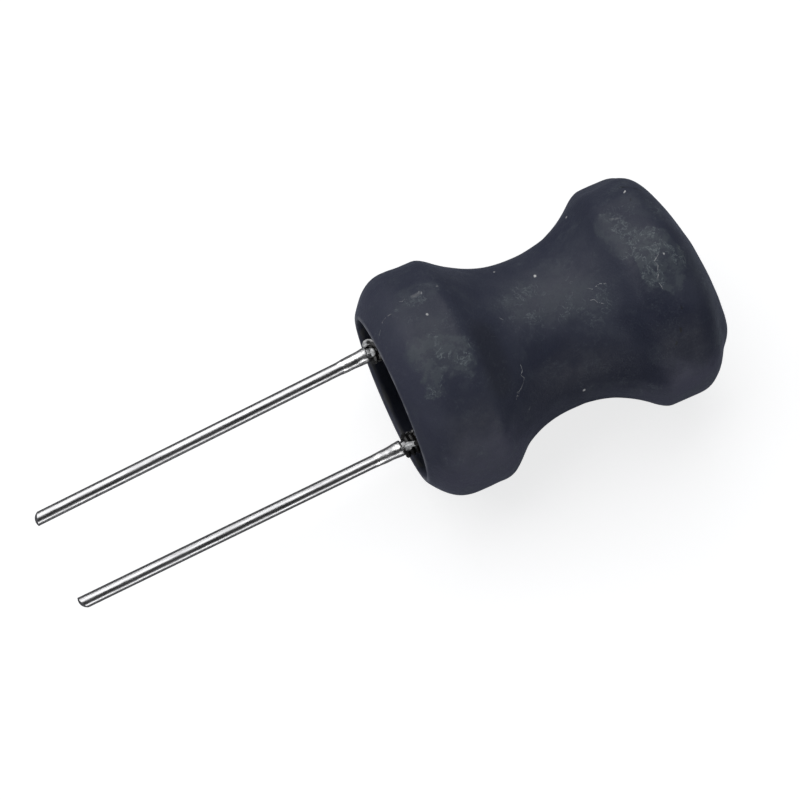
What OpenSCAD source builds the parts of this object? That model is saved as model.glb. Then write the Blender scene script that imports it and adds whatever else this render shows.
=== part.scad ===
// Radial-leaded power inductor: a wound ferrite drum in a heat-shrink sleeve, lying on its side.
// Each piece is drawn upright: its axis is Z, the sleeve's mouth is at Z 0 and the pins hang below.
// lay_down() then turns the axis to +X and sets the sleeve on the ground.

/* [Drum core] */
// Diameter of the flange at the pins
flange_d = 9.8; // [8.8:0.1:10.8]
// Diameter of the far flange
far_flange_d = 9.72; // [8.8:0.02:10.8]
// Length of the drum over both flanges
core_len = 12.4; // [11:0.1:15]
// Thickness of the flange at the pins
flange_t = 2.5; // [2.1:0.1:3.2]
// Thickness of the far flange
far_flange_t = 2.2; // [1.4:0.1:3]
// Diameter of the post between the flanges
post_d = 4.6; // [3.6:0.1:4.8]
// Rounding at the foot of the post
post_fillet = 0.2; // [0.1:0.05:0.3]
// Chamfer on the flange edges
edge_chamfer = 0.22; // [0.1:0.02:0.4]

/* [Winding] */
// Diameter of the enamelled wire
wire_d = 0.25; // [0.2:0.01:0.28]
// Number of layers
layers = 4; // [2:1:4]
// Gap between the end turns and the flanges
end_gap = 0.08; // [0.05:0.01:0.3]
// Turns of each tail around its pin
wraps = 3; // [2:1:3]
// Angle of the wire notch on the side of pin A
notch_a_angle = 208; // [202:1:214]
// Angle of the wire notch on the side of pin B
notch_b_angle = 281; // [275:1:287]
// Depth of a wire notch below the rim
notch_depth = 0.7; // [0.6:0.05:0.9]

/* [Pins] */
// Diameter of a pin
pin_d = 0.6; // [0.5:0.02:0.8]
// Distance between the pins
pin_pitch = 5; // [4:0.1:5.4]
// Shift of both pins away from the middle
pin_shift = -0.1; // [-0.3:0.02:0.3]
// Depth of a pin in the flange
pin_seat = 1.8; // [1:0.1:1.9]
// Length of pin A outside the flange
pin_a_len = 17.7; // [8:0.1:30]
// Length of pin B outside the flange
pin_b_len = 17.4; // [8:0.1:30]
// Length of the pressed flats that grip the resin and the wire, outside the flange
grip_len = 2.4; // [1.4:0.1:2.6]
// Lean of pin A
pin_a_lean = 3.05; // [0.5:0.05:4]
// Lean of pin B
pin_b_lean = 2.25; // [0.5:0.05:4]
// Direction in which both pins lean
lean_angle = -27.2; // [-60:0.2:60]
// Radius of the domed tips, as a share of the pin's radius
tip_round = 1.45; // [1.4:0.05:3]
// Shift of the dome on tip A, as a share of the pin's radius
tip_a_shift = 0.33; // [-0.4:0.01:0.4]
// Shift of the dome on tip B, as a share of the pin's radius
tip_b_shift = -0.4; // [-0.4:0.01:0.4]

/* [Solder and resin] */
// Radial gap around a pin in its hole, filled with resin
resin_gap = 0.15; // [0.08:0.01:0.25]
// Thickness of the solder on the pin
solder_t = 0.04; // [0.02:0.01:0.1]
// Length of the solder along the pin
solder_len = 1.1; // [0.6:0.05:2]

/* [Sleeve] */
// Wall of the shrunk sleeve
wall = 0.37; // [0.25:0.01:0.45]
// Gap between the sleeve and the core
sleeve_gap = 0.07; // [0.02:0.01:0.15]
// Gap between the sleeve and the coil at the narrowest place
waist_gap = 0.07; // [0.05:0.01:0.8]
// Length that the sleeve stands past the flange at the pins
mouth_len = 1.15; // [0.9:0.05:1.6]
// Length that the sleeve stands past the far flange
far_len = 1.5; // [1:0.05:2]
// Outer radius of the mouth
mouth_r = 3.9; // [3.7:0.05:4.5]
// Outer radius of the far opening
far_r = 2.45; // [1.6:0.05:3.4]
// Power of the curve between the waist and the flanges
waist_power = 2.3; // [1.8:0.1:3]
// Rounding where the waist curve meets a flange
shoulder_round = 0.35; // [0.1:0.05:0.6]
// Skew of the far end, which shrank further on one side
far_skew = 0.22; // [0:0.02:0.3]
// Height of the lobe on the far lip, where it shrank least
lobe_height = 0.75; // [0:0.05:0.9]
// Height of the fold on the shoulder at the pins
fold_height = 0.13; // [0:0.01:0.2]
// Depth of the flats that the soft sleeve took on the far flange
facet_depth = 0.12; // [0:0.01:0.18]
// Depth of the flat on which each flange lies
rest_flat = 0.14; // [0.08:0.01:0.16]
// Angle of the pins' line above the ground
roll = 40.5; // [0:0.5:60]

/* [Hidden] */
eps = 0.01;
face_s = mouth_len;
core_top = face_s + core_len;
bay_low = face_s + flange_t;
bay_high = core_top - far_flange_t;
waist_s = (bay_low + bay_high) / 2;
sleeve_len = core_top + far_len;
flange_r = flange_d / 2;
far_flange_r = far_flange_d / 2;
post_r = post_d / 2;
wire_r = wire_d / 2;
pin_r = pin_d / 2;
grip_r = pin_r * 0.97;
hole_r = pin_r + resin_gap;
hole_depth = pin_seat + 0.1;
land_r = flange_r + sleeve_gap + wall;
far_land_r = far_flange_r + sleeve_gap + wall;
rest_h = land_r - rest_flat;
pin_a_x = pin_shift - pin_pitch / 2;
pin_b_x = pin_shift + pin_pitch / 2;
// Layers lie in the hollows of the layer below, so each adds less than a wire
layer_rise = wire_d * 0.87;
coil_r = post_r + wire_r + (layers - 1) * layer_rise;
waist_r = coil_r + wire_r + waist_gap + wall;
turn_pitch = wire_d * 1.02;
bay_len = bay_high - bay_low - 2 * end_gap;
turns = floor((bay_len - wire_d) / turn_pitch) + 1;
first_turn = waist_s - (turns - 1) * turn_pitch / 2;
wrap_pitch = wire_d * 0.98;
wrap_r = pin_r + wire_r + 0.015;
wrap_start = face_s - 1.3;
notch_r = flange_r - notch_depth + wire_r + 0.05;
solder_top = wrap_start - wire_r - 0.02;

// Direction of the ground seen along the axis, in the upright drawing
ground_angle = 90 - roll;
facet_angles = [-75, 15, 118, 160, 205, 247];
ring_points = 64;
// Swellings: place along the axis, reach, angle, half width and height
swellings = [
    [bay_low + 0.55, 0.8, lean_angle, 60, fold_height],
    [sleeve_len + 0.15, 0.85, lean_angle, 75, lobe_height]
];

function clamp01(t) = min(1, max(0, t));
function smooth_min(a, b, k) =
    let (h = clamp01(0.5 + 0.5 * (b - a) / k)) b * (1 - h) + a * h - k * h * (1 - h);
function polar(r, a, s) = [r * cos(a), r * sin(a), s];

// Sleeve outline: a curled mouth, the hourglass and a far end that curls in further
mouth_curl = 1.9;
far_curl = 2.2;
half_waist = (bay_high - bay_low) / 2;
function land_at(s) = s < waist_s ? land_r : far_land_r;
function waist_at(s) =
    waist_r + (land_at(s) - waist_r) * pow(abs(s - waist_s) / half_waist, waist_power);
function end_at(s) =
    s < mouth_curl ? mouth_r + (land_r - mouth_r) * (1 - pow(1 - s / mouth_curl, 2.2))
    : s > sleeve_len - far_curl
        ? far_r + (far_land_r - far_r) * (1 - pow(1 - (sleeve_len - s) / far_curl, 2.6))
    : land_at(s);
function outer_at(s) =
    smooth_min(waist_at(s) + shoulder_round / 4, end_at(s) + shoulder_round / 4, shoulder_round)
    - shoulder_round / 4;

// Places along the sleeve, closer together where it curls
end_steps = 10;
mid_steps = 24;
outer_places = concat(
    [for (i = [0 : end_steps - 1]) mouth_curl * pow(i / end_steps, 1.6)],
    [for (i = [0 : mid_steps]) mouth_curl + (sleeve_len - far_curl - mouth_curl) * i / mid_steps],
    [for (i = [end_steps - 1 : -1 : 0]) sleeve_len - far_curl * pow(i / end_steps, 1.7)]);
function slope_at(s) =
    (outer_at(min(sleeve_len, s + 0.02)) - outer_at(max(0, s - 0.02)))
    / (min(sleeve_len, s + 0.02) - max(0, s - 0.02));

// The inner wall lies one wall inside the outer one, square to it, and hugs both flanges
function inner_point(s) =
    let (m = slope_at(s), n = sqrt(1 + m * m)) [outer_at(s) - wall / n, s + wall * m / n];
function hug_flange(r, low, high) =
    let (g = sleeve_gap, c = edge_chamfer)
    [[r - c + g / 2, high + g], [r + g, high - c + g / 2], [r + g, low + c - g / 2], [r - c + g / 2, low - g]];
inner_steps = 8;
waist_steps = 12;
waist_clear = 0.45;
inner_outline = concat(
    [for (i = [0 : inner_steps]) let (s = sleeve_len - far_curl * 0.62 * pow(i / inner_steps, 1.5))
        if (inner_point(s)[1] > core_top + 0.12) inner_point(s)],
    hug_flange(far_flange_r, bay_high, core_top),
    [for (i = [0 : waist_steps])
        inner_point(bay_high - waist_clear - (bay_high - bay_low - 2 * waist_clear) * i / waist_steps)],
    hug_flange(flange_r, face_s, bay_low),
    [for (i = [inner_steps : -1 : 0]) let (s = mouth_curl * 0.4 * pow(i / inner_steps, 1.3))
        if (inner_point(s)[1] < face_s - 0.12) inner_point(s)]);
outline = concat(
    [for (s = outer_places) [outer_at(s), s, 1]],
    [for (p = inner_outline) concat(p, [0])]);

// Flats and the skew fade in only where they belong
function facet_cut(r, a) =
    min([for (f = facet_angles) (far_land_r - facet_depth) / max(0.2, cos(a - f)), r]);
function fade(d, reach) = pow(max(0, 1 - pow(d / reach, 2)), 2);
function turn_between(a, b) = abs((a - b + 540) % 360 - 180);
function swell_at(s, a) =
    [for (w = swellings) 1] * [for (w = swellings) w[4] * fade(s - w[0], w[1]) * fade(turn_between(a, w[2]), w[3])];
function shaped_r(p, a) =
    let (far = clamp01((p[1] - bay_high + 0.4) / 0.8), r0 = p[0] + swell_at(p[1], a),
        r1 = r0 + far * (min(r0, facet_cut(far_land_r, a) * r0 / far_land_r) - r0),
        c = cos(a - ground_angle))
    p[2] == 0 ? r0 : c > 0.5 ? min(r1, rest_h / c) : r1;
function shaped_s(p, a) =
    let (start = p[2] == 0 ? core_top : bay_high)
    p[1] + far_skew * cos(a - lean_angle) * pow(clamp01((p[1] - start) / (sleeve_len - start)), 2);

// Turns the upright drawing onto its side, resting on the two flanges
dome_r = pin_r * tip_round;
function tip_reach(l, lean, shift) = (l - dome_r) * cos(lean) - shift * pin_r * sin(lean) + dome_r;
x_low = mouth_len - max(tip_reach(pin_a_len, pin_a_lean, tip_a_shift),
    tip_reach(pin_b_len, pin_b_lean, tip_b_shift));
x_high = sleeve_len + far_skew;
module lay_down() {
    translate([-(x_low + x_high) / 2, 0, rest_h])
        rotate([-ground_angle, 0, 0])
            rotate([0, 90, 0])
                children();
}

// Ferrite drum with its lead holes and wire notches
module drum_outline() {
    polygon(concat(
        [[0, face_s], [flange_r - edge_chamfer, face_s], [flange_r, face_s + edge_chamfer],
            [flange_r, bay_low - edge_chamfer], [flange_r - edge_chamfer, bay_low],
            [post_r + post_fillet, bay_low]],
        [for (a = [15 : 15 : 90])
            [post_r + post_fillet * (1 - sin(a)), bay_low + post_fillet * (1 - cos(a))]],
        [for (a = [90 : -15 : 15])
            [post_r + post_fillet * (1 - sin(a)), bay_high - post_fillet * (1 - cos(a))]],
        [[post_r + post_fillet, bay_high], [far_flange_r - edge_chamfer, bay_high],
            [far_flange_r, bay_high + edge_chamfer], [far_flange_r, core_top - edge_chamfer],
            [far_flange_r - edge_chamfer, core_top], [0, core_top]]));
}

module notch_cut(angle) {
    rotate([0, 0, angle])
        translate([notch_r, 0, face_s - 1]) {
            cylinder(r = wire_r + 0.05, h = flange_t + 2, $fn = 32);
            translate([0, -wire_r - 0.05, 0])
                cube([flange_r, wire_d + 0.1, flange_t + 2]);
        }
}

module drum_core() {
    color([0.2, 0.2, 0.21])
        lay_down()
            difference() {
                rotate_extrude($fn = 96) drum_outline();
                for (x = [pin_a_x, pin_b_x])
                    translate([x, 0, face_s - 1])
                        cylinder(r = hole_r, h = hole_depth + 1, $fn = 48);
                notch_cut(notch_a_angle);
                notch_cut(notch_b_angle);
            }
}

// A smooth curve through a list of places
curve_steps = 5;
function curve_point(a, b, c, d, t) =
    0.5 * (2 * b + (c - a) * t + (2 * a - 5 * b + 4 * c - d) * t * t
        + (3 * b - a - 3 * c + d) * t * t * t);
function smooth_route(p) =
    let (n = len(p) - 1)
    concat([for (i = [0 : n - 1]) for (k = [0 : curve_steps - 1])
        curve_point(p[max(0, i - 1)], p[i], p[i + 1], p[min(n, i + 2)], k / curve_steps)],
        [p[n]]);

// A tail: out of the coil, through its notch, under the sleeve's mouth and onto its pin
tail_a = [
    polar(notch_r - 0.47, notch_a_angle - 1, face_s - 0.38),
    polar(notch_r - 0.86, notch_a_angle - 4, face_s - 0.8),
    [pin_a_x - 0.85, -0.95, face_s - 1.1],
    [pin_a_x - 0.66, -0.35, face_s - 1.25]
];
tail_b = [
    polar(notch_r - 0.47, notch_b_angle, face_s - 0.38),
    polar(notch_r - 0.86, notch_b_angle + 2, face_s - 0.8),
    [pin_b_x - 1.36, -2.8, face_s - 1.07],
    [pin_b_x - 0.9, -1.9, face_s - 1.03],
    [pin_b_x - 0.45, -1, face_s - 1.1]
];
wrap_steps = 14;
function pin_centre(x, lean, s) =
    [x, 0, s] + tan(lean) * (face_s - s) * [cos(lean_angle), sin(lean_angle), 0];
function wrap_places(x, lean, start, side) = [for (i = [0 : wraps * wrap_steps])
    let (s = wrap_start + i * wrap_pitch / wrap_steps)
    pin_centre(x, lean, s) + polar(wrap_r, start + side * 360 * i / wrap_steps, 0)];
function tail_route(angle, places, x, lean, start, side) =
    let (s0 = bay_low + end_gap + wire_r, w = wrap_places(x, lean, start, side),
        p = concat([polar(coil_r - 0.05, angle, s0), polar(notch_r - 0.25, angle, s0),
            polar(notch_r, angle, s0 - 0.4), polar(notch_r, angle, face_s)], places, [w[0]]))
    concat(smooth_route(p), [for (i = [1 : len(w) - 1]) w[i]]);

// A round wire swept along a route, each ring turned as little as it can be
wire_sides = 8;
function unit(v) = v / norm(v);
function heading(r, i) = unit(r[min(len(r) - 1, i + 1)] - r[max(0, i - 1)]);
function square_to(n, t) = unit(n - (n * t) * t);
module wire_along(route, r) {
    count = len(route);
    normals = [for (i = 0, n = square_to([0.3, 0.4, 1], heading(route, 0)); i < count;
        i = i + 1, n = i < count ? square_to(n, heading(route, i)) : n) n];
    points = [for (i = [0 : count - 1]) let (t = heading(route, i), n = normals[i], b = cross(t, n))
        for (j = [0 : wire_sides - 1])
            route[i] + r * (cos(360 * j / wire_sides) * n + sin(360 * j / wire_sides) * b)];
    sides = [for (i = [0 : count - 2]) for (j = [0 : wire_sides - 1])
        let (k = (j + 1) % wire_sides, a = i * wire_sides)
        each [[a + j, a + k, a + wire_sides + k], [a + j, a + wire_sides + k, a + wire_sides + j]]];
    ends = [[for (j = [wire_sides - 1 : -1 : 0]) j],
        [for (j = [0 : wire_sides - 1]) (count - 1) * wire_sides + j]];
    polyhedron(points, [for (f = concat(sides, ends)) [for (m = [len(f) - 1 : -1 : 0]) f[m]]],
        convexity = 8);
}

module winding() {
    color([0.62, 0.3, 0.12])
        lay_down() {
            rotate_extrude($fn = 96) {
                translate([post_r + post_fillet + eps, bay_low + end_gap + wire_r])
                    square([coil_r - post_r - post_fillet - eps, bay_len - wire_d]);
                translate([post_r + eps, bay_low + post_fillet + eps])
                    square([coil_r - post_r - eps, bay_high - bay_low - 2 * post_fillet - 2 * eps]);
                for (i = [0 : turns - 1])
                    translate([coil_r, first_turn + i * turn_pitch])
                        circle(r = wire_r, $fn = 24);
            }
            wire_along(tail_route(notch_a_angle, tail_a, pin_a_x, pin_a_lean, 165, -1), wire_r);
            wire_along(tail_route(notch_b_angle, tail_b, pin_b_x, pin_b_lean, 250, 1), wire_r);
        }
}

// Sets a piece in the frame of a leaning pin, whose root is on the flange face
module on_pin(x, lean) {
    translate([x, 0, face_s])
        rotate([0, 0, lean_angle])
            rotate([0, -lean, 0])
                children();
}

// A pin: round wire, domed off its middle at the tip and pressed eight-sided where it is held
module pin_body(length, shift) {
    difference() {
        translate([0, 0, -length])
            cylinder(r = pin_r, h = length - grip_len, $fn = 48);
        difference() {
            translate([-pin_d, -pin_d, -length - pin_d])
                cube([2 * pin_d, 2 * pin_d, pin_d + dome_r]);
            translate([shift * pin_r, 0, dome_r - length])
                sphere(r = dome_r, $fn = 64);
        }
    }
    translate([0, 0, -grip_len])
        cylinder(r = grip_r, h = grip_len + pin_seat, $fn = 8);
}

module lead_pin_a() {
    color([0.75, 0.75, 0.77])
        lay_down()
            on_pin(pin_a_x, pin_a_lean)
                pin_body(pin_a_len, tip_a_shift);
}

module lead_pin_b() {
    color([0.75, 0.75, 0.77])
        lay_down()
            on_pin(pin_b_x, pin_b_lean)
                pin_body(pin_b_len, tip_b_shift);
}

// Resin fills the hole around and behind the pin
module resin_at(x, lean) {
    lay_down()
        difference() {
            translate([x, 0, face_s])
                cylinder(r = hole_r, h = hole_depth, $fn = 48);
            on_pin(x, lean)
                translate([0, 0, -1])
                    cylinder(r = grip_r, h = pin_seat + 1, $fn = 8);
        }
}

module epoxy_a() {
    color([0.25, 0.2, 0.14])
        resin_at(pin_a_x, pin_a_lean);
}

module epoxy_b() {
    color([0.25, 0.2, 0.14])
        resin_at(pin_b_x, pin_b_lean);
}

// Solder: a collar against the last wrap, then a thin coat that runs out along the pin
collar_t = wire_d * 0.75;
collar_len = 0.3;
module solder_outline() {
    run = solder_len - collar_len;
    top = solder_top - face_s;
    polygon(concat(
        [[pin_r + 0.004, top], [pin_r + collar_t * 0.8, top], [pin_r + collar_t, top - 0.05]],
        [for (t = [0.25 : 0.25 : 1])
            [pin_r + solder_t + (collar_t - solder_t) * pow(1 - t, 2), top - 0.05 - collar_len * t]],
        [for (t = [0.5 : 0.25 : 1])
            [pin_r + solder_t * sqrt(1 - t * t) + 0.006, top - 0.05 - collar_len - run * t]],
        [[pin_r + 0.004, top - 0.05 - collar_len - run]]));
}

module solder_at(x, lean) {
    lay_down()
        on_pin(x, lean)
            rotate_extrude($fn = 64) solder_outline();
}

module solder_joint_a() {
    color([0.8, 0.8, 0.82])
        solder_at(pin_a_x, pin_a_lean);
}

module solder_joint_b() {
    color([0.8, 0.8, 0.82])
        solder_at(pin_b_x, pin_b_lean);
}

// The sleeve is one closed skin: the outer wall out, the inner wall back
module shrink_sleeve() {
    rings = len(outline);
    points = [for (p = outline) for (j = [0 : ring_points - 1])
        let (a = ground_angle + 360 * j / ring_points) polar(shaped_r(p, a), a, shaped_s(p, a))];
    faces = [for (i = [0 : rings - 1]) for (j = [0 : ring_points - 1])
        let (n = (i + 1) % rings, k = (j + 1) % ring_points,
            p = i * ring_points + j, q = i * ring_points + k,
            r = n * ring_points + k, s = n * ring_points + j)
        each [[p, s, r], [p, r, q]]];
    color([0.17, 0.18, 0.21])
        lay_down()
            polyhedron(points, faces, convexity = 6);
}

drum_core();
winding();
lead_pin_a();
lead_pin_b();
epoxy_a();
epoxy_b();
solder_joint_a();
solder_joint_b();
shrink_sleeve();
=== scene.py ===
import math
import bmesh
import bpy
from mathutils import Matrix, Vector, noise


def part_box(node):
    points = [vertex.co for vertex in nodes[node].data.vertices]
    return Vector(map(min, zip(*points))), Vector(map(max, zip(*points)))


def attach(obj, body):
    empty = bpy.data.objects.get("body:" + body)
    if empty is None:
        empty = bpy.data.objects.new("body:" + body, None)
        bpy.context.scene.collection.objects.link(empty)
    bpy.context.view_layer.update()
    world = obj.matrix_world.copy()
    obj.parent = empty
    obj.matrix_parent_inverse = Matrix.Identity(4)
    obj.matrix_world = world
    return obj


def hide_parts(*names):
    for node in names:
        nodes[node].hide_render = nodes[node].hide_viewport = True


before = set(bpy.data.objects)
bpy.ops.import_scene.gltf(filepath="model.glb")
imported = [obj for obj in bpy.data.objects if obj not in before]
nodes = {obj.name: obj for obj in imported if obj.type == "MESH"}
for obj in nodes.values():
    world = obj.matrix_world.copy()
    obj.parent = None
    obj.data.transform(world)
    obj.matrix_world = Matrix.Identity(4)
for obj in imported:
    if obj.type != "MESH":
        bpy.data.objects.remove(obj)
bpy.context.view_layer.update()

mm = 0.001
scene = bpy.context.scene
print("frame loaded:", len(nodes), "pieces")

# The sleeve's box fixes the axis: it runs along X, half a sleeve above the ground
sleeveLow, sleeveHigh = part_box("shrink_sleeve")
landRadius = sleeveHigh[1] / mm
axisHeight = sleeveHigh[2] / mm - landRadius
mouthX = sleeveLow[0] / mm


def smoothStep(edge0, edge1, x):
    t = min(1.0, max(0.0, (x - edge0) / (edge1 - edge0)))
    return t * t * (3 - 2 * t)


# a place given by its distance from the mouth, its angle about the axis and its radius, in mm
def aroundAxis(s, angle, radius):
    a = math.radians(angle)
    return Vector((mouthX + s, radius * math.cos(a), axisHeight + radius * math.sin(a))) * mm


# Node helpers

def newGroup(name, inputs, outputs):
    group = bpy.data.node_groups.new(name, "ShaderNodeTree")
    for kind, label, value in inputs:
        socket = group.interface.new_socket(label, in_out="INPUT", socket_type=kind)
        if value is not None:
            socket.default_value = value
    for kind, label in outputs:
        group.interface.new_socket(label, in_out="OUTPUT", socket_type=kind)
    return group, group.nodes.new("NodeGroupInput"), group.nodes.new("NodeGroupOutput")


def mathNode(tree, operation, a, b=None, clamp=False):
    node = tree.nodes.new("ShaderNodeMath")
    node.operation = operation
    node.use_clamp = clamp
    for i, value in enumerate((a, b)):
        if value is None:
            continue
        if isinstance(value, (int, float)):
            node.inputs[i].default_value = value
        else:
            tree.links.new(value, node.inputs[i])
    return node.outputs[0]


def vectorNode(tree, operation, a, b, output="Vector"):
    node = tree.nodes.new("ShaderNodeVectorMath")
    node.operation = operation
    for i, value in enumerate((a, b)):
        if isinstance(value, tuple):
            node.inputs[i].default_value = value
        else:
            tree.links.new(value, node.inputs[i])
    return node.outputs[output]


def axesOf(tree, place):
    node = tree.nodes.new("ShaderNodeSeparateXYZ")
    tree.links.new(place, node.inputs[0])
    return node.outputs


def inMillimetres(tree, coords):
    node = tree.nodes.new("ShaderNodeVectorMath")
    node.operation = "SCALE"
    node.inputs["Scale"].default_value = 1 / mm
    tree.links.new(coords, node.inputs[0])
    return node.outputs[0]


def mapRange(tree, value, low, high, toLow=0.0, toHigh=1.0):
    node = tree.nodes.new("ShaderNodeMapRange")
    node.interpolation_type = "SMOOTHSTEP"
    node.inputs["From Min"].default_value = low
    node.inputs["From Max"].default_value = high
    node.inputs["To Min"].default_value = toLow
    node.inputs["To Max"].default_value = toHigh
    tree.links.new(value, node.inputs["Value"])
    return node.outputs["Result"]


def noiseNode(tree, coords, scale, detail=4.0, rough=0.55, distortion=0.0):
    node = tree.nodes.new("ShaderNodeTexNoise")
    node.inputs["Scale"].default_value = scale
    node.inputs["Detail"].default_value = detail
    node.inputs["Roughness"].default_value = rough
    node.inputs["Distortion"].default_value = distortion
    tree.links.new(coords, node.inputs["Vector"])
    return node.outputs["Fac"]


def mixColour(tree, factor, a, b):
    node = tree.nodes.new("ShaderNodeMix")
    node.data_type = "RGBA"
    if isinstance(factor, (int, float)):
        node.inputs["Factor"].default_value = factor
    else:
        tree.links.new(factor, node.inputs["Factor"])
    for socket, value in ((node.inputs[6], a), (node.inputs[7], b)):
        if isinstance(value, tuple):
            socket.default_value = (*value, 1)
        else:
            tree.links.new(value, socket)
    return node.outputs[2]


def newMaterial(name):
    material = bpy.data.materials.new(name)
    material.use_nodes = True
    tree = material.node_tree
    coords = tree.nodes.new("ShaderNodeTexCoord").outputs["Object"]
    return material, tree, tree.nodes["Principled BSDF"], coords


def addBump(tree, shader, height, distance, strength=1.0, normal=None):
    bump = tree.nodes.new("ShaderNodeBump")
    bump.inputs["Distance"].default_value = distance
    bump.inputs["Strength"].default_value = strength
    tree.links.new(height, bump.inputs["Height"])
    if normal is not None:
        tree.links.new(normal, bump.inputs["Normal"])
    if shader is not None:
        tree.links.new(bump.outputs[0], shader.inputs["Normal"])
    return bump.outputs[0]


# Camera, ground and light

view = {
    "turn": 24.2586,          # degrees, how far the camera is turned from the axis
    "height": 75.4973,        # degrees above the ground
    "distance": 140.27,       # mm to the middle of the sleeve
    "aside": (6.406, 2.998),  # mm that the sleeve's middle lies right of and above the view's centre
    "focal": 3123.97,         # pixels, for a picture 800 pixels wide
    "pictureWidth": 800,
    "sensorWidth": 36,        # mm
    "clipStart": 1,           # mm
    "sleeveLength": 15.087,
}


def makeCamera(v):
    turn, height = math.radians(v["turn"]), math.radians(v["height"])
    right = Vector((math.cos(turn), -math.sin(turn), 0))
    up = Vector((math.sin(turn) * math.sin(height), math.cos(turn) * math.sin(height), math.cos(height)))
    back = right.cross(up)
    middle = Vector((mouthX + v["sleeveLength"] / 2, 0, axisHeight))
    place = middle - right * v["aside"][0] - up * v["aside"][1] + back * v["distance"]
    data = bpy.data.cameras.new("camera")
    data.sensor_width = v["sensorWidth"]
    data.lens = v["focal"] * data.sensor_width / v["pictureWidth"]
    data.clip_start = v["clipStart"] * mm
    camera = bpy.data.objects.new("camera", data)
    scene.collection.objects.link(camera)
    camera.matrix_world = Matrix.Translation(place * mm) @ Matrix((right, up, back)).transposed().to_4x4()
    scene.camera = camera


light = {
    "skyLevel": 0.22,
    "skyColour": (0.9, 0.95, 1.0),
    "mirrorLevel": 0.008,     # what bright metal shows of the sky beside the pins
    "mirrorEnds": 0.45,       # and beyond their ends
    "mirrorSpan": (0.4, 0.8),  # where one turns into the other: the share of a direction along X
    "groundColour": (0.42, 0.42, 0.425),
    "groundGlow": 0.74,
    "mirrorGround": (0.11, 0.11, 0.115),
    "groundReach": 600,       # mm from the middle to each side
    "groundDrop": 0.01,       # mm, so that the resting flats don't share its plane
    # name, place in mm, aimed at in mm, size in mm, watts
    "panels": [
        ("keyPanel", (-60, 230, 330), (0, 0, 5), (620, 490), 1.72),
        ("lowPanel", (0, -420, 80), (0, 0, 5), (620, 150), 0.62),
    ],
}


def backdrop(tree, colour, strength):
    node = tree.nodes.new("ShaderNodeBackground")
    node.inputs["Color"].default_value = (*colour, 1)
    if isinstance(strength, (int, float)):
        node.inputs["Strength"].default_value = strength
    else:
        tree.links.new(strength, node.inputs["Strength"])
    return node.outputs[0]


def makeWorld(v):
    world = bpy.data.worlds.new("studio")
    scene.world = world
    world.use_nodes = True
    tree = world.node_tree
    tree.nodes.clear()
    out = tree.nodes.new("ShaderNodeOutputWorld")
    path = tree.nodes.new("ShaderNodeLightPath")
    # metal shows the pale surroundings beyond the ends of the pins and a dark band beside them
    direction = axesOf(tree, tree.nodes.new("ShaderNodeTexCoord").outputs["Generated"])
    level = mapRange(tree, mathNode(tree, "ABSOLUTE", direction["X"]), *v["mirrorSpan"],
                     v["mirrorLevel"], v["mirrorEnds"])
    mirror = backdrop(tree, v["skyColour"], level)
    white = backdrop(tree, (1, 1, 1), 1)
    last = backdrop(tree, v["skyColour"], v["skyLevel"])
    rays = (("Is Glossy Ray", mirror), ("Is Transmission Ray", white), ("Is Camera Ray", white))
    for ray, background in rays:
        mix = tree.nodes.new("ShaderNodeMixShader")
        tree.links.new(path.outputs[ray], mix.inputs["Fac"])
        tree.links.new(last, mix.inputs[1])
        tree.links.new(background, mix.inputs[2])
        last = mix.outputs[0]
    tree.links.new(last, out.inputs["Surface"])


def makeGround(v):
    bm = bmesh.new()
    bmesh.ops.create_grid(bm, x_segments=8, y_segments=8, size=v["groundReach"] * mm)
    ground = meshObject("ground", bm)
    ground.location.z = -v["groundDrop"] * mm
    material = bpy.data.materials.new("paleGround")
    material.use_nodes = True
    tree = material.node_tree
    tree.nodes.clear()
    out = tree.nodes.new("ShaderNodeOutputMaterial")
    path = tree.nodes.new("ShaderNodeLightPath")
    matt = tree.nodes.new("ShaderNodeBsdfDiffuse")
    tree.links.new(mixColour(tree, path.outputs["Is Glossy Ray"], v["groundColour"], v["mirrorGround"]),
                   matt.inputs["Color"])
    glow = tree.nodes.new("ShaderNodeEmission")
    glow.inputs["Color"].default_value = (1, 1, 1, 1)
    strength = tree.nodes.new("ShaderNodeMath")
    strength.operation = "MULTIPLY"
    strength.inputs[1].default_value = v["groundGlow"]
    add = tree.nodes.new("ShaderNodeAddShader")
    tree.links.new(path.outputs["Is Camera Ray"], strength.inputs[0])
    tree.links.new(strength.outputs[0], glow.inputs["Strength"])
    tree.links.new(matt.outputs[0], add.inputs[0])
    tree.links.new(glow.outputs[0], add.inputs[1])
    tree.links.new(add.outputs[0], out.inputs["Surface"])
    ground.data.materials.append(material)


def makePanels(v):
    for name, place, aim, size, watts in v["panels"]:
        data = bpy.data.lights.new(name, "AREA")
        data.shape = "RECTANGLE"
        data.size, data.size_y = size[0] * mm, size[1] * mm
        data.energy = watts
        panel = bpy.data.objects.new(name, data)
        scene.collection.objects.link(panel)
        panel.location = Vector(place) * mm
        panel.rotation_euler = (Vector(aim) - Vector(place)).to_track_quat("-Z", "Y").to_euler()
        panel.visible_camera = False


def meshObject(name, bm):
    mesh = bpy.data.meshes.new(name)
    bm.to_mesh(mesh)
    bm.free()
    piece = bpy.data.objects.new(name, mesh)
    scene.collection.objects.link(piece)
    return piece


makeCamera(view)
makeWorld(light)
makeGround(light)
makePanels(light)
print("camera, ground and light are set")

# The shrunk sleeve

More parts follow.
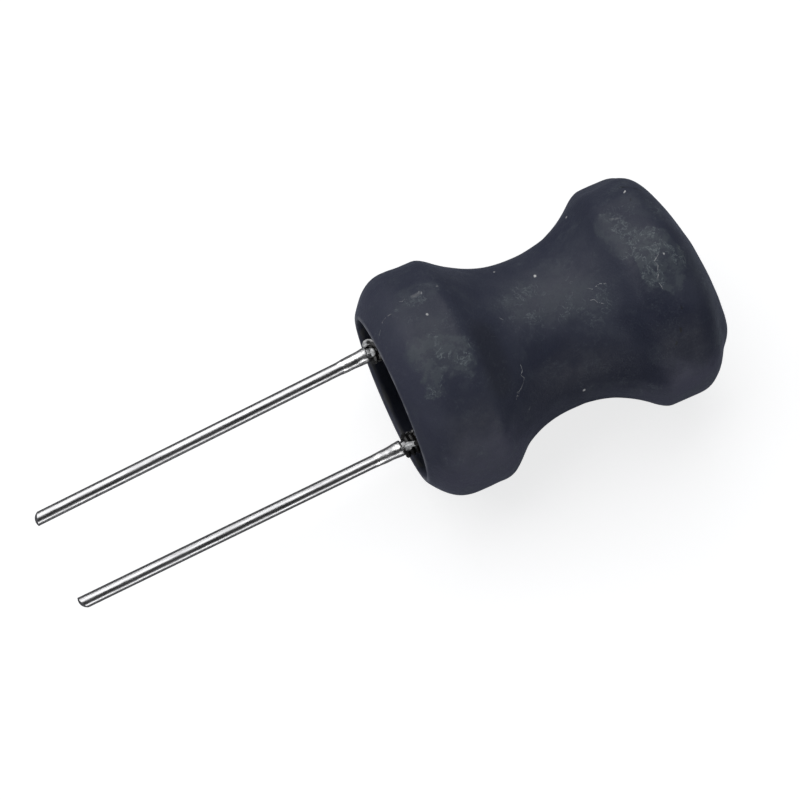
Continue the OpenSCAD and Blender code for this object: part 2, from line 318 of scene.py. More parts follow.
sleeve = {
    "wall": 0.37,
    "mouthRadius": 3.9,
    "mouthCurl": 1.9,
    "mouthPower": 2.2,
    "farRadius": 2.45,
    "farCurl": 2.2,
    "farPower": 2.6,
    "farLandRadius": 5.3,
    "waistRadius": 3.6425,
    "waistPower": 2.3,
    "shoulderRound": 0.35,
    "lipRound": 0.15,
    "bay": (3.65, 11.35),     # mm from the mouth, between the flanges
    "coreEnds": (1.15, 13.55),
    "flangeGap": 0.02,        # mm between the wall's inside and a flange
    "flangeReach": (0.1, 0.25),  # mm that this gap is kept past a flange's face and into the bay
    "length": 15.05,
    "farSkew": 0.22,
    "skewAngle": 193.3,
    "restFlat": 0.14,
    "restSide": 0.5,          # cosine of the farthest turn from straight down
    "facetDepth": 0.12,
    "facetRound": 0.05,
    "facetEase": 0.6,         # mm over which the facets set in
    "facetSide": 0.3,         # cosine of the farthest turn from a facet's middle
    "facetAngles": [145.5, 235.5, 338.5, 20.5, 65.5, 107.5],
    # place along the axis, reach, angle, half width and height of each swelling
    "swellings": [(4.2, 0.8, 193.3, 60, 0.13), (15.2, 0.85, 193.3, 75, 0.75)],
    # slow dents: how the noise is stretched along and about the axis, then scale, shift and depth
    "dentStretch": (0.55, 2.2),
    "dents": [(0.9, (3.1, 0.4, 7.7), 0.11), (2.1, (9.3, 5.2, 1.1), 0.05)],
    "pleatCount": 9,
    "pleatDepth": 0.06,
    "pleatLead": 0.2,         # mm before the core's end
    "pleatDrift": 2,          # radians
    "pleatScale": 0.8,
    # steps of the outline: the curl at the mouth, the middle, the far curl, then each rim's inside
    "outlineSteps": (26, 90, 30),
    "outlineCrowding": (1.5, 1.6),
    "rimSteps": 12,
    "skinSpan": (0.6, 0.15),  # depth in the wall, in walls, over which the inside turns into the outside
    "ringSteps": 256,
}


def smoothMin(a, b, k):
    h = min(1.0, max(0.0, 0.5 + 0.5 * (b - a) / k))
    return b * (1 - h) + a * h - k * h * (1 - h)


# the outside of the hourglass at a distance from the mouth
def sleeveRadius(s, v):
    low, high = v["bay"]
    middle = (low + high) / 2
    land = landRadius if s < middle else v["farLandRadius"]
    rise = (abs(s - middle) / ((high - low) / 2)) ** v["waistPower"]
    waist = v["waistRadius"] + (land - v["waistRadius"]) * rise
    if s < v["mouthCurl"]:
        rise = 1 - (1 - s / v["mouthCurl"]) ** v["mouthPower"]
        end = v["mouthRadius"] + (land - v["mouthRadius"]) * rise
    elif s > v["length"] - v["farCurl"]:
        rise = 1 - (1 - (v["length"] - s) / v["farCurl"]) ** v["farPower"]
        end = v["farRadius"] + (land - v["farRadius"]) * rise
    else:
        end = land
    lift = v["shoulderRound"] / 4
    return smoothMin(waist + lift, end + lift, v["shoulderRound"]) - lift


# how much a rounded edge takes off at a distance from it
def edgeLoss(d, r):
    return r - math.sqrt(r * r - (r - d) ** 2) if d < r else 0.0


# the closed outline of the wall: out along the outside, back along the inside
def sleeveOutline(v):
    length, wall = v["length"], v["wall"]
    outer, inner = [], []
    mouthSteps, middleSteps, farSteps = v["outlineSteps"]
    mouthCrowding, farCrowding = v["outlineCrowding"]
    straight = length - v["farCurl"] - v["mouthCurl"]
    places = [v["mouthCurl"] * (i / mouthSteps) ** mouthCrowding for i in range(mouthSteps)]
    places += [v["mouthCurl"] + straight * i / middleSteps for i in range(middleSteps)]
    places += [length - v["farCurl"] * (i / farSteps) ** farCrowding for i in range(farSteps, -1, -1)]
    plain = [(s, sleeveRadius(s, v)) for s in places]
    for i, (s, r) in enumerate(plain):
        a, b = plain[max(0, i - 1)], plain[min(len(plain) - 1, i + 1)]
        run, rise = b[0] - a[0], b[1] - a[1]
        size = math.hypot(run, rise)
        along, across = -rise / size, run / size
        loss = edgeLoss(min(s, length - s), v["lipRound"])
        outer.append((s - loss * along, r - loss * across))
        inner.append((s - (wall - loss) * along, r - (wall - loss) * across))
    low, high = v["coreEnds"]
    bayLow, bayHigh = v["bay"]
    past, within = v["flangeReach"]
    kept = []
    # the hidden inside keeps every other place, and stays clear of the flanges
    for i, (s, r) in enumerate(inner):
        if v["rimSteps"] < i < len(inner) - v["rimSteps"] and i % 2:
            continue
        if low - past < s < bayLow + within or bayHigh - within < s < high + past:
            flange = landRadius if s < (bayLow + bayHigh) / 2 else v["farLandRadius"]
            r = max(r, flange - wall + v["flangeGap"])
        kept.append((s, r))
    return outer, kept[::-1]


def makeSleeve(v):
    outer, inner = sleeveOutline(v)
    bm = bmesh.new()
    ring = [bm.verts.new(Vector((mouthX + s, 0, axisHeight + r)) * mm) for s, r in outer + inner]
    edges = [bm.edges.new((ring[i], ring[(i + 1) % len(ring)])) for i in range(len(ring))]
    bmesh.ops.spin(bm, geom=ring + edges, cent=Vector((0, 0, axisHeight)) * mm, axis=(1, 0, 0),
                   dvec=(0, 0, 0), angle=2 * math.pi, steps=v["ringSteps"], use_merge=True)
    bmesh.ops.remove_doubles(bm, verts=bm.verts, dist=1e-7)
    bmesh.ops.recalc_face_normals(bm, faces=bm.faces)
    # the outer skin is told from the inner one by its radius beside the outline's
    for vert in bm.verts:
        s = vert.co.x / mm - mouthX
        y, z = vert.co.y / mm, vert.co.z / mm - axisHeight
        radius, angle = math.hypot(y, z), math.degrees(math.atan2(z, y))
        sc = min(v["length"], max(0.0, s))
        outside = smoothStep(*v["skinSpan"], (sleeveRadius(sc, v) - radius) / v["wall"])
        s2, r2 = shapedPlace(s, radius, angle, outside, v)
        vert.co = aroundAxis(s2, angle, r2)
    addScuffs(bm, scuffs)
    piece = meshObject("sleeve", bm)
    piece.data.materials.append(sleeveMaterial())
    piece.data.materials.append(scuffMaterial())
    for face in piece.data.polygons:
        face.use_smooth = True
    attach(piece, "root")
    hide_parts("shrink_sleeve")
    return piece


# hair-thin scuffs, each a run of places: mm from the mouth and degrees about the axis
scuffs = {
    "halfWidth": 0.022,
    "lift": 0.003,
    "step": 0.05,
    "unrolledRadius": 4,      # mm, about the sleeve's own
    "wander": (0.05, 0.7),    # mm along the axis and degrees about it
    "wanderScale": 4,
    "width": (0.65, 0.9),     # the mean share of the half width, and what a noise adds
    "widthScale": 6,
    "tipWidth": 0.2,
    "leastWidth": 0.1,
    "breakScale": 9,
    "breakLevel": 0.22,       # above this the sliver is broken off
    "runs": [
        [(5.5, 116), (5.47, 119), (5.36, 121.5), (5.4, 124), (5.3, 127), (5.12, 129), (4.98, 130),
         (4.86, 132.5)],
        [(4.98, 130), (4.86, 129.2), (4.72, 133.2)],
        [(5.28, 144.2), (5.2, 145.4), (5.06, 146.6)],
        [(1.2, 62.6), (0.98, 61.2), (0.74, 61.3), (0.55, 62.8), (0.4, 65.4)],
        [(1.72, 58.2), (1.86, 59.1), (2.0, 58.4), (2.08, 59.8)],
        [(2.3, 60.2), (2.42, 58.9), (2.6, 58.7), (2.72, 57.2), (2.8, 58.6), (2.76, 60.1)],
        [(3.3, 57.6), (3.42, 58.3), (3.62, 58.2)],
        [(9.44, 96), (9.62, 97.1), (9.7, 99.5), (9.93, 102.3)],
        [(5.48, 81.4), (5.5, 83.6), (5.6, 86)],
        [(12.42, 99), (12.56, 95.6), (12.5, 93.2), (12.84, 90.3), (12.98, 88)],
        [(12.42, 99), (12.3, 103), (12.36, 107)],
        [(9.5, 88), (9.7, 90.5), (10.1, 90), (10.3, 91.4)],
    ],
}


# pale slivers that lie on the skin and break off here and there
def addScuffs(bm, v):
    wanderAlong, wanderAbout = v["wander"]
    meanWidth, moreWidth = v["width"]
    for run in v["runs"]:
        places = []
        for (s0, angle0), (s1, angle1) in zip(run, run[1:]):
            length = math.hypot(s1 - s0, math.radians(angle1 - angle0) * sleeveRadius(s0, sleeve))
            count = max(2, int(length / v["step"]))
            for i in range(count):
                places.append((s0 + (s1 - s0) * i / count, angle0 + (angle1 - angle0) * i / count))
        places.append(run[-1])
        line = []
        for s, angle in places:
            p = Vector((s, math.radians(angle) * v["unrolledRadius"], 0)) * v["wanderScale"]
            s += wanderAlong * noise.noise(p)
            angle += wanderAbout * noise.noise(p + Vector((5, 5, 5)))
            s, r = shapedPlace(s, sleeveRadius(s, sleeve), angle, 1, sleeve)
            a = math.radians(angle)
            line.append((aroundAxis(s, angle, r + v["lift"]), Vector((0, math.cos(a), math.sin(a)))))
        pairs = []
        for i, (place, out) in enumerate(line):
            along = (line[min(len(line) - 1, i + 1)][0] - line[max(0, i - 1)][0]).normalized()
            half = v["halfWidth"] * mm * (meanWidth + moreWidth * noise.noise(place / mm * v["widthScale"]))
            if i in (0, len(line) - 1):
                half *= v["tipWidth"]
            side = along.cross(out).normalized() * max(v["leastWidth"] * v["halfWidth"] * mm, half)
            pairs.append((bm.verts.new(place + side), bm.verts.new(place - side)))
        for i in range(len(pairs) - 1):
            if noise.noise(line[i][0] / mm * v["breakScale"]) < v["breakLevel"]:
                face = bm.faces.new((pairs[i][0], pairs[i + 1][0], pairs[i + 1][1], pairs[i][1]))
                face.material_index = 1


# moves a place of the plain hourglass to where the real sleeve has its lumps, flats and skew
def shapedPlace(s, radius, angle, outside, v):
    bayLow, bayHigh = v["bay"]
    for middle, reach, direction, spread, height in v["swellings"]:
        turn = abs((angle - direction + 540) % 360 - 180)
        along = max(0.0, 1 - ((s - middle) / reach) ** 2)
        around = max(0.0, 1 - (turn / spread) ** 2)
        radius += height * along ** 2 * around ** 2
    far = smoothStep(bayHigh - v["facetEase"], bayHigh + v["facetEase"], s) * outside
    cut = radius
    for facet in v["facetAngles"]:
        c = math.cos(math.radians(angle - facet))
        if c > v["facetSide"]:
            limit = (v["farLandRadius"] - v["facetDepth"]) / c * radius / v["farLandRadius"]
            cut = smoothMin(cut, limit, v["facetRound"])
    radius += far * (cut - radius)
    # slow dents that only ever press inwards
    along, about = v["dentStretch"]
    a = math.radians(angle)
    p = Vector((s * along, math.cos(a) * about, math.sin(a) * about))
    dent = 0
    for scale, shift, depth in v["dents"]:
        dent += max(0.0, noise.noise(p * scale + Vector(shift))) * depth
    radius -= dent * outside
    # the far end is gathered in soft pleats where it shrank past the core
    pleat = smoothStep(v["coreEnds"][1] - v["pleatLead"], v["length"], s)
    drift = v["pleatDrift"] * noise.noise(p * v["pleatScale"])
    wave = 0.5 + 0.5 * math.sin(math.radians(angle * v["pleatCount"]) + drift)
    radius -= v["pleatDepth"] * pleat * wave * outside
    start = bayHigh if outside > 0.5 else v["coreEnds"][1]
    lean = math.cos(math.radians(angle - v["skewAngle"]))
    t = min(1.0, max(0.0, (s - start) / (v["length"] - start)))
    s += v["farSkew"] * lean * t * t
    c = math.cos(math.radians(angle + 90))
    if c > v["restSide"]:
        radius = min(radius, (landRadius - v["restFlat"]) / c)
    return s, radius


# Finishes

# marks on the sleeve: places are mm from the mouth and degrees about the axis, sizes in mm
sleeveLook = {
    "deep": (0.021, 0.0245, 0.045),
    "soft": (0.027, 0.031, 0.051),
    # haze, and painted highlight
    "bloomAndHighlight": (0.047, 0.0555, 0.071),
    # warmer towards the mouth, and painted rim light low on the near side
    "warmAndPaintedRimLight": (0.054, 0.055, 0.088),
    # painted shade
    "paintedShadeTone": (0.009, 0.012, 0.03),
    "flakes": (0.115, 0.135, 0.148),
    # painted light on the mouth's inner wall
    "inside": (0.07, 0.07, 0.076),
    "dust": (0.5, 0.5, 0.5),
    # paler cut edge with a painted highlight along the lip
    "edge": (0.3, 0.3, 0.32),
    # painted shade, near black
    "pitAndCreaseShade": (0.004, 0.004, 0.006),
    # noises: scale, detail, roughness and distortion
    "cloud": (0.42, 3, 0.5, 0.6),
    "mottle": (2.4, 6, 0.65),
    "fine": (9, 4, 0.6),
    "stray": (0.8, 5, 0.6),
    "curl": (1.5, 5, 0.66, 0.6),
    "curlPatches": (0.9, 3, 0.5),
    "edgeBreakNoise": (1.7, 2, 0.5),
    # how a place is frayed: noise scale and reach in mm
    "broadFray": (1.1, 1.3),
    "fineFray": (4.5, 0.4),
    "nudge": (5.0, 0.12),
    # spans: from, to, and the levels at both ends
    "cloudSpan": (0.38, 0.66),
    "warmMouth": (0.2, 2.2, 0.35, 0),
    # painted rim light: lighter low down on the near side
    "paintedRimLightSide": (-3.3, -5.0, 0, 1),
    "grainSpan": (0.42, 0.58, 0.3, 1.0),
    "straySpan": (0.52, 0.72, 0.0, 0.45),
    "curlBand": (0.004, 0.03, 1, 0),
    "curlBreaks": (0.4, 0.56, 0.15, 1),
    "curlSpan": (0.46, 0.56),
    "cutEdge": (0.02, 0.16, 1, 0),
    "edgeBreakSpan": (0.38, 0.6, 0.3, 1),
    "roughness": (0.3, 0.7, 0.5, 0.62),
    "curlShare": (0.85, 0.12),   # on the haze and painted highlight, and away from it
    "specular": 0.4,
    "sheen": (0.15, 0.35),       # weight and roughness
    "sheenTint": (0.7, 0.78, 1),
    "relief": (0.6, 0.4),        # shares of the mottle and of the fine noise
    "bump": (0.00006, 0.5),      # metres and strength
    # from, to, half width, softness, strength
    # haze and painted light: the strong marks on the lands and the waist facing up are painted highlights,
    # those low near 170 to 180 degrees painted rim light, the rest haze
    "bloomAndHighlightPatches": [
        ((1.75, 90), (2.9, 97), 0.7, 0.35, 1.15),
        ((1.5, 102), (1.4, 108), 0.35, 0.2, 1.0),
        ((6.7, 76), (9.4, 96), 0.55, 0.8, 0.6),
        ((11.4, 66), (12.0, 82), 0.55, 0.3, 0.75),
        ((12.7, 88), (12.9, 98), 0.95, 0.2, 1.25),
        ((1.9, 58), (3.0, 58), 0.4, 0.4, 0.5),
        ((0.9, 62), (2.2, 74), 0.7, 1.1, 0.15),
        ((12.9, 50), (13.6, 62), 0.5, 0.8, 0.4),
        ((14.3, 96), (14.2, 150), 0.3, 0.7, 0.5),
        ((12.6, 180), (13.8, 178), 0.5, 1.2, 0.5),
        ((2.0, 182), (4.2, 182), 0.5, 1.2, 0.4),
        ((8.5, 168), (11.0, 170), 0.3, 1.0, 0.35),
        ((1.4, 150), (3.2, 160), 0.5, 1.0, 0.3),
        ((6.0, 240), (8.5, 280), 0.6, 0.8, 0.6),
        ((12.5, 300), (13.4, 330), 0.7, 0.6, 0.7),
        ((2.2, 250), (3.2, 300), 0.6, 0.7, 0.6),
    ],
    # painted shade in the waist's valley, on the far flange's lower middle and on the slope past the near
    # shoulder
    "paintedShadePatches": [
        ((11.4, 122), (13.4, 140), 0.7, 1.5, 0.85),
        ((6.2, 130), (10.4, 148), 0.7, 1.5, 0.85),
        ((4.7, 96), (4.8, 150), 0.4, 1.0, 0.3),
    ],
    # painted shade: a crease on the far flange, small pits, and a broad patch on the slope past the near
    # flange
    "paintedShadeMarks": [
        ((12.9, 44.5), (13.7, 50.5), 0.03, 0.06, 0.8),
        ((4.4, 92), (4.3, 118), 0.35, 0.7, 0.3),
        ((12.86, 116), (12.8, 119), 0.03, 0.05, 0.8),
        ((12.45, 128), (12.42, 129.5), 0.03, 0.05, 0.8),
        ((12.1, 134), (12.07, 135.4), 0.03, 0.05, 0.8),
        ((12.95, 56), (12.9, 57), 0.04, 0.05, 0.8),
    ],
    "paleMarks": [
        ((7.84, 60.8), (7.84, 61), 0.045, 0.04, 1.0),
        ((6.38, 39.8), (6.38, 40), 0.03, 0.03, 0.8),
        ((12.96, 49.2), (12.9, 50), 0.025, 0.03, 0.8),
        ((12.77, 57.8), (12.77, 58), 0.04, 0.03, 1.0),
        ((7.91, 159.6), (7.91, 160), 0.035, 0.04, 0.8),
        ((10.41, 29.5), (10.41, 30), 0.03, 0.04, 0.7),
        ((2.54, 72.2), (2.54, 72.4), 0.03, 0.03, 0.7),
        ((13.03, 91.5), (13.03, 91.8), 0.02, 0.03, 0.7),
        ((11.7, 62.5), (12.0, 64), 0.09, 0.06, 0.16),
        ((2.35, 59), (2.7, 58.5), 0.04, 0.12, 0.12),
    ],
    # painted light along the inside of the mouth, so its far wall shows lit: mm from the mouth, angle, radius
    "paintedLightOnMouthWall": [(0.4, angle, 3.62) for angle in (225, 255, 285, 315, 345)],
    "wallStroke": (0.24, 0.12, 1),
}


# one mark: a line with round ends, soft at its rim, seen as a mask
def markGroup():
    group, start, end = newGroup("mark", [
        ("NodeSocketVector", "Place", None), ("NodeSocketVector", "From", None),
        ("NodeSocketVector", "To", None),
        ("NodeSocketFloat", "Half width", 0.1), ("NodeSocketFloat", "Softness", 0.1),
        ("NodeSocketFloat", "Strength", 1.0)], [("NodeSocketFloat", "Mask")])
    reach = vectorNode(group, "SUBTRACT", start.outputs["Place"], start.outputs["From"])
    run = vectorNode(group, "SUBTRACT", start.outputs["To"], start.outputs["From"])
    share = mathNode(group, "DIVIDE", vectorNode(group, "DOT_PRODUCT", reach, run, "Value"),
                     vectorNode(group, "DOT_PRODUCT", run, run, "Value"), clamp=True)
    foot = group.nodes.new("ShaderNodeVectorMath")
    foot.operation = "SCALE"
    group.links.new(run, foot.inputs[0])
    group.links.new(share, foot.inputs["Scale"])
    distance = vectorNode(group, "DISTANCE", reach, foot.outputs[0], "Value")
    fade = group.nodes.new("ShaderNodeMapRange")
    fade.interpolation_type = "SMOOTHSTEP"
    fade.inputs["To Min"].default_value = 1
    fade.inputs["To Max"].default_value = 0
    group.links.new(distance, fade.inputs["Value"])
    group.links.new(start.outputs["Half width"], fade.inputs["From Min"])
    group.links.new(mathNode(group, "ADD", start.outputs["Half width"], start.outputs["Softness"]),
                    fade.inputs["From Max"])
    group.links.new(mathNode(group, "MULTIPLY", fade.outputs["Result"], start.outputs["Strength"]),
                    end.inputs["Mask"])
    return group


# frays the place that a mask is read at
def frayGroup():
    group, start, end = newGroup("fray", [
        ("NodeSocketVector", "Place", None), ("NodeSocketFloat", "Scale", 1.0),
        ("NodeSocketFloat", "Reach", 0.1)], [("NodeSocketVector", "Place")])
    cloud = group.nodes.new("ShaderNodeTexNoise")
    cloud.inputs["Detail"].default_value = 5
    cloud.inputs["Roughness"].default_value = 0.62
    group.links.new(start.outputs["Place"], cloud.inputs["Vector"])
    group.links.new(start.outputs["Scale"], cloud.inputs["Scale"])
    shift = group.nodes.new("ShaderNodeVectorMath")
    shift.operation = "SCALE"
    group.links.new(vectorNode(group, "SUBTRACT", cloud.outputs["Color"], (0.5, 0.5, 0.5)), shift.inputs[0])
    group.links.new(start.outputs["Reach"], shift.inputs["Scale"])
    group.links.new(vectorNode(group, "ADD", start.outputs["Place"], shift.outputs[0]), end.inputs["Place"])
    return group


def useGroup(tree, group, values):
    node = tree.nodes.new("ShaderNodeGroup")
    node.node_tree = group
    for label, value in values.items():
        if isinstance(value, (int, float, tuple)):
            node.inputs[label].default_value = value
        else:
            tree.links.new(value, node.inputs[label])
    return node.outputs[0]


def fray(tree, place, scale, reach):
    return useGroup(tree, groups["fray"], {"Place": place, "Scale": scale, "Reach": reach})


# masks laid over each other
def anyOf(tree, masks):
    total = masks[0]
    for mask in masks[1:]:
        total = mathNode(tree, "MAXIMUM", total, mask)
    return total


# a run of strokes through given places
def strokes(tree, place, ends, halfWidth, softness, strength):
    masks = []
    for a, b in zip(ends, ends[1:]):
        masks.append(useGroup(tree, groups["mark"], {
            "Place": place, "From": a, "To": b,
            "Half width": halfWidth, "Softness": softness, "Strength": strength}))
    return anyOf(tree, masks)


# the marks of one list
def allMarks(tree, place, marks, v):
    masks = []
    for start, end, *stroke in marks:
        ends = [tuple(aroundAxis(s, angle, sleeveRadius(s, v)) / mm) for s, angle in (start, end)]
        masks.append(strokes(tree, place, ends, *stroke))
    return anyOf(tree, masks)


# a span of distances from the mouth as one of X, with its levels
def spanOfX(low, high, *levels):
    return mouthX + low, mouthX + high, *levels


# warmer towards the mouth, and lighter low down on the near side, where it is painted rim light
def warmMouthAndRimLightMask(tree, frayed, look):
    axes = axesOf(tree, frayed)
    return anyOf(tree, [mapRange(tree, axes["X"], *spanOfX(*look["warmMouth"])),
                        mapRange(tree, axes["Y"], *look["paintedRimLightSide"])])


# haze and painted highlight: patchy inside its marks, where broad highlights and lighter rim light are
# painted on, and thin and rare haze elsewhere
def bloomAndHighlightMask(tree, frayed, marks, mottle, look):
    grainy = mapRange(tree, mottle, *look["grainSpan"])
    stray = mapRange(tree, noiseNode(tree, frayed, *look["stray"]), *look["straySpan"])
    return mathNode(tree, "MULTIPLY", anyOf(tree, [marks, stray]), grainy, clamp=True)


# small curled flakes where the haze and painted highlight are thick: the thin bands in which a noise crosses
# its middle
def flakeMask(tree, place, marks, fine, look):
    onBloom, elsewhere = look["curlShare"]
    fromMiddle = mathNode(tree, "SUBTRACT", noiseNode(tree, place, *look["curl"]), 0.5)
    band = mapRange(tree, mathNode(tree, "ABSOLUTE", fromMiddle), *look["curlBand"])
    curls = mathNode(tree, "MULTIPLY", band, mapRange(tree, fine, *look["curlBreaks"]))
    patches = mapRange(tree, noiseNode(tree, place, *look["curlPatches"]), *look["curlSpan"])
    share = mathNode(tree, "ADD", mathNode(tree, "MULTIPLY", marks, onBloom), elsewhere)
    where = mathNode(tree, "MULTIPLY", patches, share, clamp=True)
    return mathNode(tree, "MULTIPLY", curls, where)


# the sleeve's cut edge, paler, with a painted highlight along the lip, broken up by a noise
def cutEdgeAndHighlightMask(tree, place, look):
    edge = mapRange(tree, axesOf(tree, place)["X"], *spanOfX(*look["cutEdge"]))
    brokenUp = mapRange(tree, noiseNode(tree, place, *look["edgeBreakNoise"]), *look["edgeBreakSpan"])
    return mathNode(tree, "MULTIPLY", edge, brokenUp)


def sleeveMaterial():
    look = sleeveLook
    material, tree, shader, coords = newMaterial("heatShrink")
    place = inMillimetres(tree, coords)
    frayed = fray(tree, fray(tree, place, *look["broadFray"]), *look["fineFray"])
    nudged = fray(tree, place, *look["nudge"])
    cloud = noiseNode(tree, place, *look["cloud"])
    mottle = noiseNode(tree, place, *look["mottle"])
    fine = noiseNode(tree, place, *look["fine"])
    # the haze and painted highlight patches
    marks = allMarks(tree, frayed, look["bloomAndHighlightPatches"], sleeve)
    wall = [tuple(aroundAxis(*spot) / mm) for spot in look["paintedLightOnMouthWall"]]
    base = mixColour(tree, mapRange(tree, cloud, *look["cloudSpan"]), look["deep"], look["soft"])
    # each mask lays its colour over the ones before it
    for mask, colour in (
            (warmMouthAndRimLightMask(tree, frayed, look), "warmAndPaintedRimLight"),
            (allMarks(tree, frayed, look["paintedShadePatches"], sleeve), "paintedShadeTone"),
            (bloomAndHighlightMask(tree, frayed, marks, mottle, look), "bloomAndHighlight"),
            (allMarks(tree, nudged, look["paintedShadeMarks"], sleeve), "pitAndCreaseShade"),
            (flakeMask(tree, place, marks, fine, look), "flakes"),
            (allMarks(tree, nudged, look["paleMarks"], sleeve), "dust"),
            (strokes(tree, place, wall, *look["wallStroke"]), "inside"),
            (cutEdgeAndHighlightMask(tree, place, look), "edge")):
        base = mixColour(tree, mask, base, look[colour])
    tree.links.new(base, shader.inputs["Base Color"])
    tree.links.new(mapRange(tree, mottle, *look["roughness"]), shader.inputs["Roughness"])
    shader.inputs["Specular IOR Level"].default_value = look["specular"]
    sheenWeight, sheenRoughness = look["sheen"]
    shader.inputs["Sheen Weight"].default_value = sheenWeight
    shader.inputs["Sheen Roughness"].default_value = sheenRoughness
    shader.inputs["Sheen Tint"].default_value = (*look["sheenTint"], 1)
    ofMottle, ofFine = look["relief"]
    height = mathNode(tree, "ADD", mathNode(tree, "MULTIPLY", mottle, ofMottle),
                      mathNode(tree, "MULTIPLY", fine, ofFine))
    addBump(tree, shader, height, *look["bump"])
    return material


# the plainer finishes: one colour turns into another across a noise (scale, detail, roughness),
# whose scale is per millimetre, but per metre for ferrite and resin
finishLook = {
    "scuff": {
        "first": (0.08, 0.085, 0.1), "second": (0.28, 0.285, 0.3),
        "cloud": (4, 3, 0.6), "span": (0.35, 0.65), "roughness": 0.6,
    },
    "tin": {
        "first": (0.66, 0.66, 0.67), "second": (0.52, 0.52, 0.53),
        "cloud": (7, 3, 0.6), "span": (0.4, 0.7), "stretch": (0.1, 1, 1),
        "roughness": (0.3, 0.7, 0.25, 0.34), "bump": (0.000003, 0.4),
        "wave": (0.9, 2, 0.5), "waveBump": (0.0001, 0.25),
    },
    "solder": {
        "first": (0.88, 0.88, 0.88), "second": (0.7, 0.7, 0.71),
        "cloud": (2.2, 3, 0.5), "span": (0.4, 0.7),
        "roughness": (0.3, 0.7, 0.26, 0.38), "bump": (0.00006, 0.7),
    },
    "ferrite": {
        "first": (0.014, 0.014, 0.016), "second": (0.03, 0.03, 0.032),
        "cloud": (700, 5, 0.6), "span": (0.35, 0.65), "roughness": 0.62,
        "grain": (5000, 3, 0.7), "bump": (0.00003, 0.6),
    },
    "resin": {
        "first": (0.03, 0.02, 0.012), "second": (0.07, 0.05, 0.03),
        "cloud": (1800, 3, 0.5), "roughness": 0.3,
    },
}


def cloudColour(tree, shader, share, look):
    tree.links.new(mixColour(tree, share, look["first"], look["second"]), shader.inputs["Base Color"])


def scuffMaterial():
    look = finishLook["scuff"]
    material, tree, shader, coords = newMaterial("scuff")
    cloud = noiseNode(tree, inMillimetres(tree, coords), *look["cloud"])
    cloudColour(tree, shader, mapRange(tree, cloud, *look["span"]), look)
    shader.inputs["Roughness"].default_value = look["roughness"]
    return material


def tinMaterial():
    look = finishLook["tin"]
    material, tree, shader, coords = newMaterial("tinnedWire")
    shader.inputs["Metallic"].default_value = 1
    place = inMillimetres(tree, coords)
    stretch = tree.nodes.new("ShaderNodeMapping")
    stretch.inputs["Scale"].default_value = look["stretch"]
    tree.links.new(place, stretch.inputs["Vector"])
    streak = noiseNode(tree, stretch.outputs[0], *look["cloud"])
    cloudColour(tree, shader, mapRange(tree, streak, *look["span"]), look)
    tree.links.new(mapRange(tree, streak, *look["roughness"]), shader.inputs["Roughness"])
    waved = addBump(tree, None, noiseNode(tree, place, *look["wave"]), *look["waveBump"])
    addBump(tree, shader, streak, *look["bump"], waved)
    return material


def solderMaterial():
    look = finishLook["solder"]
    material, tree, shader, coords = newMaterial("solder")
    shader.inputs["Metallic"].default_value = 1
    cloud = noiseNode(tree, inMillimetres(tree, coords), *look["cloud"])
    cloudColour(tree, shader, mapRange(tree, cloud, *look["span"]), look)
    tree.links.new(mapRange(tree, cloud, *look["roughness"]), shader.inputs["Roughness"])
    addBump(tree, shader, cloud, *look["bump"])
    return material


def ferriteMaterial():
    look = finishLook["ferrite"]
    material, tree, shader, coords = newMaterial("ferrite")
    cloud = noiseNode(tree, coords, *look["cloud"])
    cloudColour(tree, shader, mapRange(tree, cloud, *look["span"]), look)
    shader.inputs["Roughness"].default_value = look["roughness"]
    addBump(tree, shader, noiseNode(tree, coords, *look["grain"]), *look["bump"])
    return material


def resinMaterial():
    look = finishLook["resin"]
    material, tree, shader, coords = newMaterial("resin")
    cloudColour(tree, shader, noiseNode(tree, coords, *look["cloud"]), look)
    shader.inputs["Roughness"].default_value = look["roughness"]
    return material


# the wire is tin with a painted highlight where its tails leave the pins, and near black around them: flux
# and painted shade
wireLook = {
    "tin": (0.95, 0.95, 0.95),
    # near black: flux and painted shade
    "fluxAndShade": (0.012, 0.011, 0.011),
    "copper": (0.5, 0.18, 0.065),
    # mm from the mouth, angle and radius of the places along each stretch of painted highlight
    "tinAndPaintedHighlightTails": [
        [(-0.28, 37.4, 2.93), (-0.1, 47.4, 3.32), (0.2, 55.7, 3.62)],
        [(-0.2, 46.5, 2.72), (-0.08, 50.5, 2.82)],
        [(-0.05, 213.0, 2.38), (0.1, 193.3, 2.19), (0.15, 168.8, 2.42), (0.05, 151.2, 3.0)],
    ],
    "tailStroke": (0.15, 0.07, 1),
    "copperSpan": (0.9, 1.2),    # mm from the mouth
    "cloud": (2.5, 3, 0.6),
    "fleckSpan": (0.64, 0.7, 0, 0.4),
    "fleckMetal": 0.5,
    "roughness": (0, 1, 0.24, 0.46),
    "bump": (0.00003, 0.4),
}


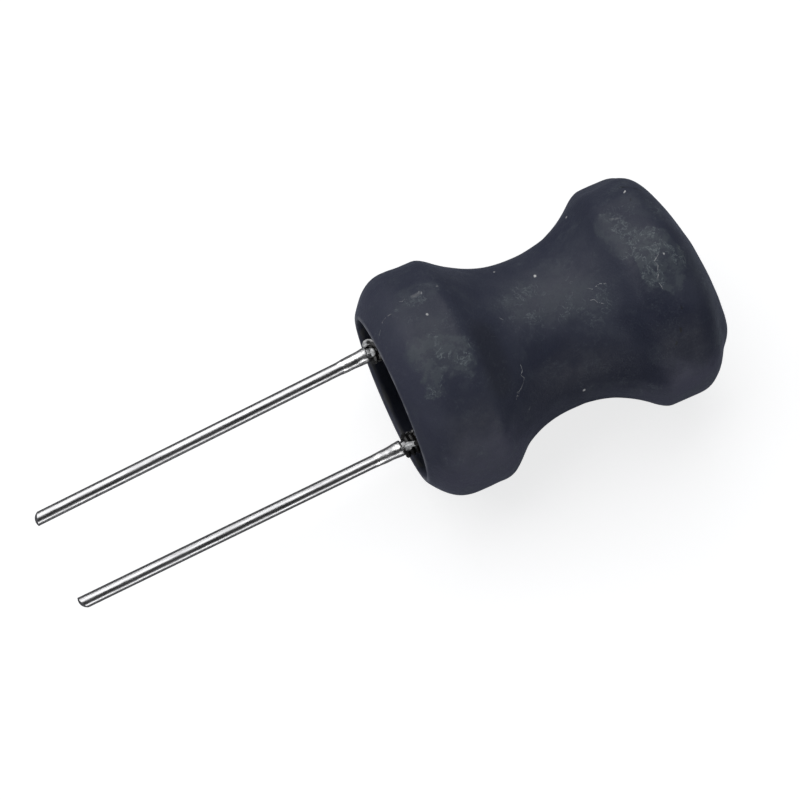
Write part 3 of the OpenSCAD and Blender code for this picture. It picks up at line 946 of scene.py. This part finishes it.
def wireMaterial():
    look = wireLook
    material, tree, shader, coords = newMaterial("windingWire")
    place = inMillimetres(tree, coords)
    inside = mapRange(tree, axesOf(tree, place)["X"], *spanOfX(*look["copperSpan"]))
    tails = [[tuple(aroundAxis(*spot) / mm) for spot in stretch] for stretch in look["tinAndPaintedHighlightTails"]]
    # painted highlight on the tin of the tails
    bright = anyOf(tree, [strokes(tree, place, tail, *look["tailStroke"]) for tail in tails])
    cloud = noiseNode(tree, place, *look["cloud"])
    tinFlecksAndHighlight = anyOf(tree, [bright, mapRange(tree, cloud, *look["fleckSpan"])])
    tail = mixColour(tree, tinFlecksAndHighlight, look["fluxAndShade"], look["tin"])
    tree.links.new(mixColour(tree, inside, tail, look["copper"]), shader.inputs["Base Color"])
    tree.links.new(anyOf(tree, [mathNode(tree, "MULTIPLY", tinFlecksAndHighlight, look["fleckMetal"]), inside]),
                   shader.inputs["Metallic"])
    tree.links.new(mapRange(tree, bright, *look["roughness"]), shader.inputs["Roughness"])
    addBump(tree, shader, cloud, *look["bump"])
    return material


# Solder beads, one on each pin below the wraps

beads = {
    "flangeFace": 1.15,       # mm from the mouth
    "leanAngle": 193.3,
    # name, angle and radius of the pin's root, lean in degrees, seed of its lumps
    "pins": [("solder_joint_a", 40.5, 2.6, 3.05, 4.0), ("solder_joint_b", 220.5, 2.4, 2.25, 9.0)],
    # distance from the flange and radius, in mm
    "outline": [(1.37, 0.295), (1.372, 0.33), (1.39, 0.352), (1.43, 0.362), (1.5, 0.361),
                (1.6, 0.352), (1.75, 0.343), (1.95, 0.336), (2.15, 0.33), (2.35, 0.323),
                (2.5, 0.317), (2.62, 0.31), (2.74, 0.303), (2.8, 0.299)],
    "lumps": 0.022,
    "lumpScale": 2.3,
    "skinRadius": 0.301,      # mm, within which the bead's ends stay on the pin without lumps
    "sides": 48,
}


def makeBeads(v):
    for name, rootAngle, rootRadius, lean, seed in v["pins"]:
        root = aroundAxis(v["flangeFace"], rootAngle, rootRadius)
        across = math.radians(v["leanAngle"])
        tilt = math.radians(lean)
        axis = Vector((-math.cos(tilt), math.sin(tilt) * math.cos(across), math.sin(tilt) * math.sin(across)))
        side = axis.cross(Vector((0, 0, 1))).normalized()
        bm = bmesh.new()
        line = [bm.verts.new(root + (axis * d + side * r) * mm) for d, r in v["outline"]]
        edges = [bm.edges.new((line[i], line[i + 1])) for i in range(len(line) - 1)]
        bmesh.ops.spin(bm, geom=line + edges, cent=root, axis=axis, dvec=(0, 0, 0),
                       angle=2 * math.pi, steps=v["sides"], use_merge=True)
        bmesh.ops.remove_doubles(bm, verts=bm.verts, dist=1e-8)
        bmesh.ops.recalc_face_normals(bm, faces=bm.faces)
        for vert in bm.verts:
            away = vert.co - root
            onAxis = axis * away.dot(axis)
            spoke = away - onAxis
            if spoke.length > v["skinRadius"] * mm:
                lump = noise.noise(away / mm * v["lumpScale"] + Vector((seed, 0, 0))) * v["lumps"]
                vert.co = root + onAxis + spoke * (1 + lump / (spoke.length / mm))
        bead = meshObject("bead" + name[-1].upper(), bm)
        bead.data.materials.append(finishes["solder"])
        for face in bead.data.polygons:
            face.use_smooth = True
        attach(bead, "root")
        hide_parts(name)


def finishNodes():
    brokenUp = {"drum_core": "ferrite", "winding": "windingWire", "lead_pin_a": "tinnedWire",
            "lead_pin_b": "tinnedWire", "epoxy_a": "resin", "epoxy_b": "resin"}
    for name, finish in brokenUp.items():
        for slot in nodes[name].material_slots:
            slot.material = finishes[finish]
        for face in nodes[name].data.polygons:
            face.use_smooth = True


groups = {"mark": markGroup(), "fray": frayGroup()}
makeSleeve(sleeve)
print("sleeve made")
finishes = {"tinnedWire": tinMaterial(), "solder": solderMaterial(), "ferrite": ferriteMaterial(),
            "windingWire": wireMaterial(), "resin": resinMaterial()}
makeBeads(beads)
finishNodes()
print("finishes set")

scene.view_settings.view_transform = "Standard"
